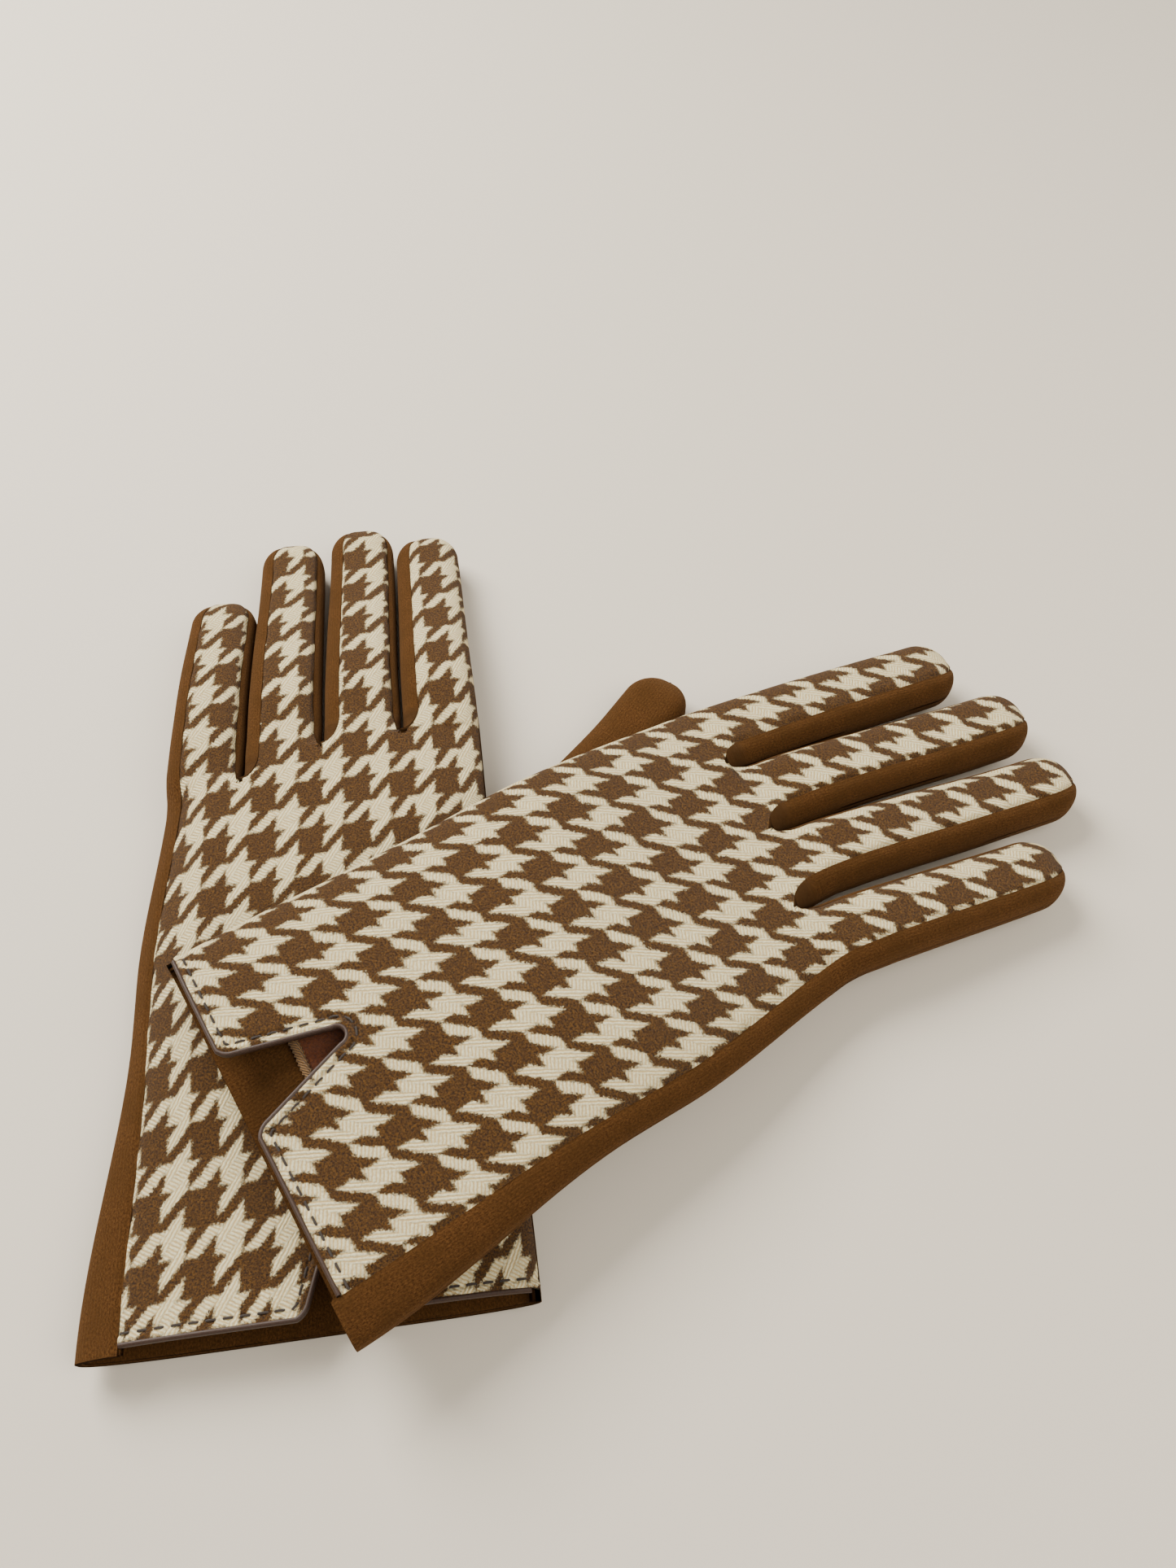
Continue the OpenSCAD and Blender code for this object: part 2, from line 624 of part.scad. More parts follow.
back_panel("right");  // right_back_panel
palm_panel("right");  // right_palm_panel
finger_webs("right");  // right_finger_webs
lining("right");  // right_lining
cuff_binding("right");  // right_cuff_binding
cuff_threads("right");  // right_cuff_threads
palm_hem("right");  // right_palm_hem
thumb_gusset("right");  // right_thumb_gusset
thumb_base("right");  // right_thumb_base
thumb_tip("right");  // right_thumb_tip
finger_back("right", 0);  // right_index_back
finger_palm("right", 0);  // right_index_palm
finger_sides("right", 0);  // right_index_sides
finger_tip_back("right", 0);  // right_index_tip_back
finger_tip_palm("right", 0);  // right_index_tip_palm
finger_back("right", 1);  // right_middle_back
finger_palm("right", 1);  // right_middle_palm
finger_sides("right", 1);  // right_middle_sides
finger_tip_back("right", 1);  // right_middle_tip_back
finger_tip_palm("right", 1);  // right_middle_tip_palm
finger_back("right", 2);  // right_ring_back
finger_palm("right", 2);  // right_ring_palm
finger_sides("right", 2);  // right_ring_sides
finger_tip_back("right", 2);  // right_ring_tip_back
finger_tip_palm("right", 2);  // right_ring_tip_palm
finger_back("right", 3);  // right_little_back
finger_palm("right", 3);  // right_little_palm
finger_sides("right", 3);  // right_little_sides
finger_tip_back("right", 3);  // right_little_tip_back
finger_tip_palm("right", 3);  // right_little_tip_palm
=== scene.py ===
"""A pair of houndstooth gloves with suede-cloth palms, laid one across the other."""

import math

import bpy
import numpy as np
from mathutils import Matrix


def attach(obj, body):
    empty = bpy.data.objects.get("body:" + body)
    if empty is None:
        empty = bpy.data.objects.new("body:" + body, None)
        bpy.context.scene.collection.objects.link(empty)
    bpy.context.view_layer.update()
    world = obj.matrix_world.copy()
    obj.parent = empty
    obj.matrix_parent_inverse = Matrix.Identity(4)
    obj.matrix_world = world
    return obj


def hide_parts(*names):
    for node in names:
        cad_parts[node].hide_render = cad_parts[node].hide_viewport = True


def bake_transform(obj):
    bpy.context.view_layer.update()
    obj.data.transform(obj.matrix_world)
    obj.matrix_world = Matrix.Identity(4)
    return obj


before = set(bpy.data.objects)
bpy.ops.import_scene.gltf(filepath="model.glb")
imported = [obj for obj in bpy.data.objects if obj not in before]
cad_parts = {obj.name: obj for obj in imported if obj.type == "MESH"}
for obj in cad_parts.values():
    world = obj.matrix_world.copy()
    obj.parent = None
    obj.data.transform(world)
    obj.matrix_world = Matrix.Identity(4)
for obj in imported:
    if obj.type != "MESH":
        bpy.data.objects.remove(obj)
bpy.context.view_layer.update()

MM = 0.001
SIDES = ("left", "right")
FINGERS = ("index", "middle", "ring", "little")

# sizes in mm, as in the CAD part
HAND_LEN = 153
HAND_H = 13
HEEL = 5
CUFF_FLARE = 6
THUMB_FLARE = 1
PALM_PAST = 2
FINGER_W = (21.5, 21.5, 21, 21)
FINGER_LEN = (78, 83, 82, 68)
FINGER_DROP = (1, 0, 3, 12)
FINGER_H = 14
FINGER_GAP = 0.7
FINGER_TAPER = 0.09
FINGER_ROUND = 10
THUMB_LEN = 66
THUMB_W = 21
THUMB_H = {"left": 5, "right": 11}
THUMB_FROM = 97
THUMB_OFF = 34
THUMB_TURN = {"left": math.radians(54), "right": math.radians(-24)}
GUSSET_LEN = 14
WEAVE_T = 1.6
SUEDE_T = 1.4
FLEECE_T = 0.8
STRIP_W = 5
STRIP_CUFF_W = 10
HEM_D = 14
NOTCH_W = 20
NOTCH_D = 24
NOTCH_END_W = 3.5
NOTCH_OFF = 4
STITCH_PITCH = 3.6
STITCH_LEN = 2.4
STITCH_IN = 1.9
CROSS = math.radians(64.6)
RIGHT_BACK = 14.8
RIGHT_UP = 40.7
LEAN = {
    "left": [math.radians(a) for a in (0.5, -0.8, -1, -2.5)],
    "right": [math.radians(a) for a in (10, 11.5, 12.5, 12)],
}
CLEAR = 0.3
HAND_N = 3
FINGER_N = 2.6
FLAT_K = 1.06
STACK = THUMB_H["left"] + CLEAR
KNUCKLE_W = sum(FINGER_W) + 3 * FINGER_GAP
DRAPE_FROM = KNUCKLE_W / 2 + 2.5
DRAPE_LEN = 80
SEAM_THUMB = -0.88
SEAM_LITTLE = 0.55
SEAM_UNDER = 0.75

# where the hand's cloth is divided: hand | knuckle | finger
KNUCKLE_U = 127
KNUCKLE_S = 14
# how far before the root the crotch opens, and how far on the fingers are fully apart
CROTCH_BACK = 4
CROTCH_RUN = 8
# where the back's first row lies, just inside the cuff
EDGE_U = 0.3
# how high the loose hem and the lining's mouth stand under the notch, how wide, and how far past it
HEM_RISE = 4.2
HEM_RISE_W = 17
HEM_RISE_RUN = 25


# ---------- numbers ----------
def sm(t):
    """A smooth step from 0 to 1."""
    t = np.clip(t, 0, 1)
    return t * t * (3 - 2 * t)


def mix(a, b, t):
    return a + (b - a) * t


def capped(x):
    """x, turned over smoothly so that it never passes 1."""
    return 0.5 * (x + 1 - np.sqrt((x - 1) ** 2 + 0.0025))


def section(angle, n):
    """A point of a soft rectangle round an origin: x from -1 to 1, and height from -1 to 1."""
    c, s = np.cos(angle), np.sin(angle)
    r = (np.abs(c) ** n + np.abs(s) ** n) ** (1 / n)
    return c / r, np.sign(s) * capped(FLAT_K * np.abs(s) / r)


def angle_at(x, n):
    """The angle of a section's upper point at x."""
    x = np.clip(x, -1, 1)
    return np.arctan2(np.maximum(1 - np.abs(x) ** n, 0) ** (1 / n), x)


def bump(d, width):
    return np.exp(-((d / width) ** 2))


def unevenness(x, y, seed):
    """Soft dents in the cloth, from -1 to 0, one length of the cloth's own coordinates."""
    a = np.sin(x / 7.3 + seed + 1.4 * np.sin(y / 12.1 + seed))
    b = np.sin(y / 9.4 + 2.1 * seed + 1.1 * np.sin(x / 10.7))
    c = np.sin((x + y) / 4.9 + 3.3 * seed)
    return (a + b + 0.5 * c - 2.5) / 5


# ---------- the hand's outline and height ----------
def root_u(i):
    return HAND_LEN - FINGER_DROP[i]


def root_v(i):
    return -KNUCKLE_W / 2 + sum(FINGER_W[:i]) + i * FINGER_GAP + FINGER_W[i] / 2


def crotch_v(i):
    return root_v(i) + (FINGER_W[i] + FINGER_GAP) / 2


def crotch_u(i):
    return min(root_u(i), root_u(i + 1)) - CROTCH_BACK


def thumb_edge(u):
    return -KNUCKLE_W / 2 - THUMB_FLARE * (1 - sm(u / (0.4 * HAND_LEN)))


def little_edge(u):
    heel = HEEL * (1 - sm((u - 0.55 * HAND_LEN) / (root_u(3) - 0.55 * HAND_LEN)))
    return KNUCKLE_W / 2 + heel + CUFF_FLARE * (1 - sm(u / (0.46 * HAND_LEN)))


def hand_c(u):
    return (thumb_edge(u) + little_edge(u)) / 2


def hand_a(u):
    return (little_edge(u) - thumb_edge(u)) / 2


def strip_v(u):
    return little_edge(u) - mix(STRIP_CUFF_W, STRIP_W, sm(u / (0.5 * HAND_LEN)))


def left_lift(v, u):
    rise = sm((u - 0.2 * HAND_LEN) / (0.26 * HAND_LEN))
    return STACK * rise * (1 - sm((u - HAND_LEN - 12) / 60)) * (1 - sm((v - 28) / 22))


def right_lift(v, u):
    x = -RIGHT_BACK + v * math.cos(CROSS) + u * math.sin(CROSS)
    y = RIGHT_UP - v * math.sin(CROSS) + u * math.cos(CROSS)
    over = HAND_H + CLEAR + STACK * (0.3 + 0.7 * sm((y - 15) / 50))
    low = mix(5, 1, sm((x - DRAPE_FROM - DRAPE_LEN) / 70))
    return mix(over, low, sm((x - DRAPE_FROM) / DRAPE_LEN))


LIFT = {"left": left_lift, "right": right_lift}


def to_row(side, v, u, z):
    """From a glove's own plan to the row frame, in metres."""
    if side == "left":
        return np.stack([-v, u, z], -1) * MM
    x = -RIGHT_BACK + v * math.cos(CROSS) + u * math.sin(CROSS)
    y = RIGHT_UP - v * math.sin(CROSS) + u * math.cos(CROSS)
    return np.stack([x, y, z], -1) * MM


def turned(side, n):
    """A direction, from a glove's own plan to the row frame."""
    v, u, z = n[..., 0], n[..., 1], n[..., 2]
    if side == "left":
        return np.stack([-v, u, z], -1)
    x = v * math.cos(CROSS) + u * math.sin(CROSS)
    y = -v * math.sin(CROSS) + u * math.cos(CROSS)
    return np.stack([x, y, z], -1)


def spot(side, v, u, z=0):
    return tuple(to_row(side, np.float64(v), np.float64(u), np.float64(z)))


def notch_half(u):
    """Half the notch's width at u, with a round end and round corners at the cuff."""
    end = NOTCH_END_W / 2 + 0.9
    side = mix(NOTCH_W / 2, end, u / NOTCH_D)
    tip = end * np.sqrt(np.clip(1 - ((u - NOTCH_D) / end) ** 2, 0, 1))
    corner = 2.6 * (1 - np.sqrt(np.clip(1 - (1 - np.clip(u, 0, 2.6) / 2.6) ** 2, 0, 1)))
    return np.where(u < NOTCH_D, side + corner, tip)


# ---------- surfaces ----------
# Each gives v, u, z in mm, the cloth's own coordinates x, y, and how far the cloth is pushed out.
def hand_surface(side, u, angle, inset=0.0):
    x, y = section(angle, HAND_N)
    a, b = hand_a(u), HAND_H / 2
    v = hand_c(u) + (a - inset * np.abs(x) ** 3) * x
    h = (b - inset) * y
    flat = v + 0.6 * np.sign(x) * (b - inset - np.abs(h)) + np.where(h < 0, 400, 0)
    return v, u, LIFT[side](v, u) + b + h, flat


def back_edge_work(u, v):
    """The cloth's rise and fall along the topstitched cuff and notch."""
    to_cuff = u - 0.3
    to_notch = np.where(u < NOTCH_D + 6, np.abs(v + NOTCH_OFF) - notch_half(u), 99)
    past_tip = np.hypot(v + NOTCH_OFF, u - NOTCH_D) - NOTCH_END_W / 2 - 0.9
    to_notch = np.where(u > NOTCH_D, past_tip, to_notch)
    d = np.minimum(to_cuff, to_notch)
    along = np.where(to_cuff < to_notch, v, u)
    pinch = 0.55 + 0.45 * np.cos(2 * math.pi * along / STITCH_PITCH)
    return 0.35 * bump(d - 0.8, 0.7) - 0.6 * pinch * bump(d - STITCH_IN, 0.7)


def back_push(side, u, v, x, angle):
    """How far the hand's back is pushed out, with its seam to the side strip drawn in."""
    pucker = 1 + 0.4 * np.sin(u / 2.3) * np.sin(u / 5.1)
    push = back_edge_work(u, v) - 0.55 * pucker * bump(strip_v(u) - v, 1.3)
    push = push - 0.3 * bump((math.pi - angle) * 6, 1.2)
    return push + 0.3 * unevenness(x, u, 1.0 if side == "left" else 2.0)


def palm_push(u, v, x, angle):
    seam = np.where(angle > 0, v - strip_v(u), 99)
    return -0.4 * bump(seam, 0.9) + 0.3 * unevenness(x / 2, u / 2, 3.0)


def back_panel(side, half):
    """The back on the thumb's side of the notch, or on the other."""

    def surface(u, f):
        if half == 0:
            end = -NOTCH_OFF - notch_half(u)
            x = (end - hand_c(u)) / hand_a(u)
            angle = mix(math.pi, angle_at(x, HAND_N), f)
        else:
            first = (-NOTCH_OFF + notch_half(u) - hand_c(u)) / hand_a(u)
            last = (strip_v(u) - hand_c(u)) / hand_a(u)
            angle = mix(angle_at(first, HAND_N), angle_at(last, HAND_N), f)
        v, u, z, x = hand_surface(side, u, angle)
        push = back_push(side, u, v, x, angle)
        return v, u, z, x, u, push

    return surface


def palm_panel(side):
    def surface(u, f):
        first = angle_at((strip_v(u) - hand_c(u)) / hand_a(u), HAND_N)
        angle = mix(first, -math.pi, f)
        v, u, z, x = hand_surface(side, u, angle)
        return v, u, z, x, u, palm_push(u, v, x, angle)

    return surface


def finger_frame(side, i, s):
    """Centre, half width, half height and angle of a finger's section at s from its root."""
    turn = LEAN[side][i]
    last = FINGER_LEN[i] - FINGER_ROUND
    psi = np.clip((s - last) / FINGER_ROUND, 0, math.pi / 2 - 0.004)
    run = np.minimum(s, last) + FINGER_ROUND * np.sin(psi)
    r = np.cos(psi)
    tau = np.clip((run + 6) / 12, 0, 1)
    out = np.where(run > 6, run, 12 * (tau**3 - tau**4 / 2))
    v = root_v(i) + out * math.sin(turn)
    u = root_u(i) + run + out * (math.cos(turn) - 1)
    twist = turn * sm(run / 15)
    taper = 1 - FINGER_TAPER * np.maximum(run, 0) / FINGER_LEN[i]
    a = FINGER_W[i] / 2 * taper * np.cos(twist) * r
    b = mix(HAND_H, FINGER_H, sm(run / 15)) / 2 * r
    return v, u, a, b, twist, run


def finger_point(side, i, s, angle):
    cv, cu, a, b, twist, run = finger_frame(side, i, s)
    x, y = section(angle, FINGER_N)
    v = cv + a * x * np.cos(twist)
    u = cu - a * x * np.sin(twist)
    full = mix(HAND_H, FINGER_H, sm(run / 15)) / 2
    z = LIFT[side](cv, cu) + full + b * y
    flat = root_v(i) + a * x + 0.6 * np.sign(x) * b * (1 - np.abs(y)) + np.where(y < 0, 400, 0)
    return v, u, z, flat


def seam_angles(i):
    """Angles of a finger's four seams, from the thumb's side over the top and round underneath."""
    top_thumb = math.pi if i == 0 else float(angle_at(SEAM_THUMB, FINGER_N))
    top_little = float(angle_at(SEAM_LITTLE, FINGER_N))
    under_little = -float(angle_at(SEAM_UNDER, FINGER_N))
    under_thumb = -math.pi if i == 0 else -math.pi - under_little
    return top_thumb, top_little, under_little, under_thumb


def panel_angles(i, panel):
    top_thumb, top_little, under_little, under_thumb = seam_angles(i)
    if panel == "back":
        return top_thumb, top_little
    if panel == "palm":
        return (top_little if i == 3 else under_little), under_thumb
    if panel == "little_side":
        return top_little, under_little
    return under_thumb, top_thumb - 2 * math.pi


def opening(u, u0):
    """Share by which a crotch has opened at u."""
    t = np.clip((u - u0) / CROTCH_RUN, 0, 1)
    return np.sqrt(1 - (1 - t) ** 2)


def panel_push(i, panel, s, f, x, y, side):
    """Seams sunk into the cloth along both edges of a panel, with small puckers."""
    wide = {"back": 19.0, "palm": 18.0, "little_side": 14.0, "thumb_side": 12.0}[panel]
    pucker = 1 + 0.45 * np.sin(s / 2.1 + i) * np.sin(s / 4.7)
    depth = 0.6 if panel == "back" else 0.35
    sunk = bump(f * wide, 1.1) + bump((1 - f) * wide, 1.1)
    seed = 4.0 + i + (0.5 if side == "left" else 0)
    return -depth * pucker * sunk + 0.2 * unevenness(x, y, seed)


def knuckle(side, i, panel):
    """From the hand's cloth to a finger's: s is measured from the finger's root."""
    lo, hi = panel_angles(i, panel)
    thumb_v = crotch_v(i - 1) if i > 0 else None
    little_v = crotch_v(i) if i < 3 else None

    def surface(s, f):
        u = root_u(i) + s
        soft = sm((s + 10) / 13)
        open_thumb = opening(u, crotch_u(i - 1)) if i > 0 else soft
        open_little = opening(u, crotch_u(i)) if i < 3 else soft
        c, a, b = hand_c(u), hand_a(u), HAND_H / 2
        v0 = thumb_v if i > 0 else thumb_edge(u)
        v1 = little_v if i < 3 else strip_v(u)
        strip = angle_at((strip_v(u) - c) / a, HAND_N)
        if panel == "back":
            top0 = angle_at((v0 - c) / a, HAND_N) if i > 0 else math.pi
            top1 = angle_at((v1 - c) / a, HAND_N) if i < 3 else strip
            angle = mix(top0, top1, f)
            hand = hand_surface(side, u, angle)
            hand_push = back_push(side, u, hand[0], hand[3], angle)
            m = mix(open_thumb, open_little, f)
        elif panel == "palm":
            top0 = -angle_at((v1 - c) / a, HAND_N) if i < 3 else strip
            top1 = -angle_at((v0 - c) / a, HAND_N) if i > 0 else -math.pi
            angle = mix(top0, top1, f)
            hand = hand_surface(side, u, angle)
            hand_push = palm_push(u, hand[0], hand[3], angle)
            m = mix(open_little, open_thumb, f)
        else:
            v = (v1 if panel == "little_side" else v0) + 0 * f
            x = (v - c) / a
            y = capped(FLAT_K * np.maximum(1 - np.abs(x) ** HAND_N, 0) ** (1 / HAND_N))
            down = 1 - 2 * f if panel == "little_side" else 2 * f - 1
            hand = (v, u + 0 * f, LIFT[side](v, u) + b + b * y * down, v + 400 + 14 * down)
            hand_push = 0 * f
            m = (open_little if panel == "little_side" else open_thumb) + 0 * f
        finger = finger_point(side, i, s, mix(lo, hi, f))
        v, w, z, x = (mix(p, q, m) for p, q in zip(hand, finger))
        side_fade = sm((s + 3) / 6)
        push = mix(hand_push, panel_push(i, panel, s, f, x, u, side), side_fade)
        return v, w, z, x, u + 0 * f, push

    return surface


def finger_panel(side, i, panel):
    lo, hi = panel_angles(i, panel)

    def surface(s, f):
        v, u, z, x = finger_point(side, i, s, mix(lo, hi, f))
        y = root_u(i) + s + 0 * f
        return v, u, z, x, y, panel_push(i, panel, s, f, x, y, side)

    return surface


def thumb_lift(side, s):
    if side == "left":
        return 0 * s
    top = right_lift(-THUMB_OFF, THUMB_FROM) - THUMB_H["right"] - 2 * CLEAR
    return top * (1 - sm(s / 45))


def thumb_tube(side):
    turn, high = THUMB_TURN[side], THUMB_H[side]

    def surface(s, f):
        last = THUMB_LEN - FINGER_ROUND
        psi = np.clip((s - last) / FINGER_ROUND, 0, math.pi / 2 - 0.004)
        run = np.minimum(s, last) + FINGER_ROUND * np.sin(psi)
        r = np.cos(psi)
        a = THUMB_W / 2 * (1 - FINGER_TAPER * run / THUMB_LEN) * r
        angle = math.pi - 2 * math.pi * f
        x, y = section(angle, FINGER_N)
        v = -THUMB_OFF + run * math.sin(turn) + a * x * math.cos(turn)
        u = THUMB_FROM + run * math.cos(turn) - a * x * math.sin(turn)
        z = thumb_lift(side, run) + high / 2 + high / 2 * r * y
        flat = a * x + 0.6 * np.sign(x) * high / 2 * (1 - np.abs(y)) + np.where(y < 0, 400, 0)
        push = -0.4 * bump((0.5 - np.abs(f - 0.5)) * 50, 1.2) - 0.4 * bump((f - 0.5) * 50, 1.2)
        return v, u, z, flat, s + 0 * f, push + 0.2 * unevenness(flat, s, 9.0)

    return surface


def gusset(side):
    turn, high = THUMB_TURN[side], THUMB_H[side]

    def surface(g, f):
        r = np.sqrt(np.maximum(1 - g * g, 0))
        along = -g * GUSSET_LEN - CLEAR
        a = THUMB_W / 2 * r
        angle = -math.pi * np.clip((f - 0.2) / 0.6, 0, 1)
        x, y = section(angle, FINGER_N)
        v = -THUMB_OFF + along * math.sin(turn) + a * x * math.cos(turn)
        u = THUMB_FROM + along * math.cos(turn) - a * x * math.sin(turn)
        up = np.maximum(np.clip((0.2 - f) / 0.2, 0, 1), np.clip((f - 0.8) / 0.2, 0, 1))
        under = angle_at((v - hand_c(u)) / hand_a(u), HAND_N)
        top = hand_surface(side, u, -under)[2] - 0.3
        z = thumb_lift(side, 0 * g) + high / 2 + high / 2 * y * r
        return v, u, mix(z, top, up), v, u, 0 * g - 0.1 * up

    return surface


def rise_at_notch(v, u, angle):
    """How far the loose hem and the lining's mouth stand up under the notch."""
    under = np.where(angle < 0, 1.0, 0.0)
    past = 1 - sm((u - NOTCH_D) / HEM_RISE_RUN)
    return HEM_RISE * under * bump(v + NOTCH_OFF, HEM_RISE_W) * sm(u / HEM_D) * past


def lining(side):
    inset = max(WEAVE_T, SUEDE_T) + 0.25

    def surface(r, f):
        angle = math.pi - 2 * math.pi * f
        y = section(angle, HAND_N)[1]
        mouth = mix(HEM_D + 2, NOTCH_D + 3, (1 + y) / 2)
        v, u, z, x = hand_surface(side, mix(mouth, 136, r), angle, inset)
        push = 0.4 * unevenness(x, u, 6.0) - rise_at_notch(v, u, angle)
        return v, u, z, x, u, push

    return surface


def palm_hem(side):
    def surface(u, f):
        first = angle_at((strip_v(u) - hand_c(u)) / hand_a(u), HAND_N)
        angle = mix(first, -math.pi, f)
        v, u, z, x = hand_surface(side, u, angle, SUEDE_T + 0.05)
        return v, u, z, x, u, -rise_at_notch(v, u, angle)

    return surface


# ---------- meshes ----------
def values(surface, rows, cols):
    v, u, z, x, y, push = surface(rows, cols)
    shape = np.broadcast(v, u, z, x, y, push).shape
    p = np.stack([np.broadcast_to(k, shape) for k in (v, u, z)], -1)
    flat = np.stack([np.broadcast_to(k, shape) for k in (x, y)], -1)
    return p, flat, np.broadcast_to(push, shape)


def sampled(surface, rows, cols, step=0.02):
    """Points, normals and cloth coordinates of a surface on a grid."""
    r, c = np.meshgrid(rows, cols, indexing="ij")
    p, flat, push = values(surface, r, c)
    c0, c1 = np.clip(c - 0.001, 0, 1), np.clip(c + 0.001, 0, 1)
    r0, r1 = r - step, r + step
    pr0, _, dr0 = values(surface, r0, c)
    pr1, _, dr1 = values(surface, r1, c)
    pc0, _, dc0 = values(surface, r, c0)
    pc1, _, dc1 = values(surface, r, c1)
    tr, tc = pr1 - pr0, pc1 - pc0
    n = np.cross(tc, tr)
    size = np.linalg.norm(n, axis=-1, keepdims=True)
    n = n / np.maximum(size, 1e-12)
    lr = np.maximum((tr**2).sum(-1, keepdims=True), 1e-9)
    lc = np.maximum((tc**2).sum(-1, keepdims=True), 1e-9)
    bent = n - (dr1 - dr0)[..., None] * tr / lr - (dc1 - dc0)[..., None] * tc / lc
    bent = bent / np.maximum(np.linalg.norm(bent, axis=-1, keepdims=True), 1e-9)
    return p + n * push[..., None], bent, flat


class Mesh:
    """Grids of points gathered into one object."""

    def __init__(self, side):
        self.side = side
        self.points, self.normals, self.flat, self.faces = [], [], [], []
        self.count = 0
        self.area = self.wide = self.long = 0.0

    def add(self, p, n, flat, faces):
        self.points.append(to_row(self.side, p[:, 0], p[:, 1], p[:, 2]))
        self.normals.append(turned(self.side, n))
        self.flat.append(flat * [-1, 1] if self.side == "left" else flat)
        if self.side == "left":
            faces = faces[:, ::-1]
        self.faces.append(faces + self.count)
        self.count += len(p)

    def grid(self, surface, rows, cols, t):
        """A sheet of thickness t whose outer face is the surface."""
        p, n, flat = sampled(surface, rows, cols)
        self.measure(p)
        nr, nc = p.shape[:2]
        size = nr * nc
        inner = p - n * t
        k = np.arange(size).reshape(nr, nc)
        a, b, c, d = k[:-1, :-1], k[:-1, 1:], k[1:, 1:], k[1:, :-1]
        quads = np.stack([a, b, c, d], -1).reshape(-1, 4)
        rim = np.concatenate([k[0, :], k[1:, -1], k[-1, -2::-1], k[-2:0:-1, 0]])
        nxt = np.roll(rim, -1)
        walls = np.stack([rim, rim + size, nxt + size, nxt], -1)
        faces = np.concatenate([quads, quads[:, ::-1] + size, walls])
        both = np.concatenate([p.reshape(-1, 3), inner.reshape(-1, 3)])
        normals = np.concatenate([n.reshape(-1, 3), -n.reshape(-1, 3)])
        self.add(both, normals, np.tile(flat.reshape(-1, 2), (2, 1)), faces)

    def measure(self, p):
        across = np.linalg.norm(np.diff(p, axis=1), axis=-1)
        along = np.linalg.norm(np.diff(p, axis=0), axis=-1)
        cell = np.cross(p[1:, 1:] - p[:-1, :-1], p[1:, :-1] - p[:-1, 1:])
        self.area += 0.5 * np.linalg.norm(cell, axis=-1).sum()
        self.wide += across.sum(1).max()
        self.long = max(self.long, along.sum(0).max())

    def tube(self, path, side_way, up_way, ra, rb, around=10):
        """A closed tube along a path of points, ra wide along side_way and rb along up_way."""
        angle = np.linspace(0, 2 * math.pi, around, endpoint=False)
        ca, sa = np.cos(angle)[None, :, None], np.sin(angle)[None, :, None]
        ra, rb = (np.broadcast_to(r, len(path))[:, None, None] for r in (ra, rb))
        s, w = side_way[:, None, :], up_way[:, None, :]
        n = ca * s + sa * w
        p = path[:, None, :] + ca * ra * s + sa * rb * w
        length = np.concatenate([[0], np.cumsum(np.linalg.norm(np.diff(path, axis=0), axis=1))])
        flat = np.stack(np.broadcast_arrays(angle[None, :] * 1.2, length[:, None]), -1)
        m = len(path)
        k = np.arange(m * around).reshape(m, around)
        nxt = np.roll(k, -1, axis=1)
        quads = np.stack([k[:-1], nxt[:-1], nxt[1:], k[1:]], -1).reshape(-1, 4)
        ends = np.array([path[0], path[-1]])
        points = np.concatenate([p.reshape(-1, 3), ends])
        out = np.array([path[0] - path[1], path[-1] - path[-2]])
        out = out / np.linalg.norm(out, axis=1, keepdims=True)
        normals = np.concatenate([n.reshape(-1, 3), out])
        first, last = m * around, m * around + 1
        cap0 = np.stack([nxt[0], k[0], np.full(around, first), np.full(around, first)], -1)
        cap1 = np.stack([k[-1], nxt[-1], np.full(around, last), np.full(around, last)], -1)
        faces = np.concatenate([quads, cap0, cap1])
        if np.dot(np.cross(up_way[0], path[1] - path[0]), side_way[0]) < 0:
            faces = faces[:, ::-1]
        flat = np.concatenate([flat.reshape(-1, 2), flat[0, :1], flat[-1, :1]])
        self.add(points, normals, flat, faces)

    def build(self, name, material):
        points = np.concatenate(self.points)
        normals = np.concatenate(self.normals)
        flat = np.concatenate(self.flat)
        faces = [tuple(dict.fromkeys(f)) for f in np.concatenate(self.faces).tolist()]
        data = bpy.data.meshes.new(name)
        data.from_pydata(points.tolist(), [], faces)
        data.polygons.foreach_set("use_smooth", [True] * len(data.polygons))
        data.normals_split_custom_set_from_vertices(normals.tolist())
        attribute = data.attributes.new("flat", "FLOAT_VECTOR", "POINT")
        full = np.concatenate([flat, np.zeros((len(flat), 1))], 1).astype(np.float32)
        attribute.data.foreach_set("vector", full.ravel())
        data.materials.append(material)
        obj = bpy.data.objects.new(name, data)
        bpy.context.scene.collection.objects.link(obj)
        return obj


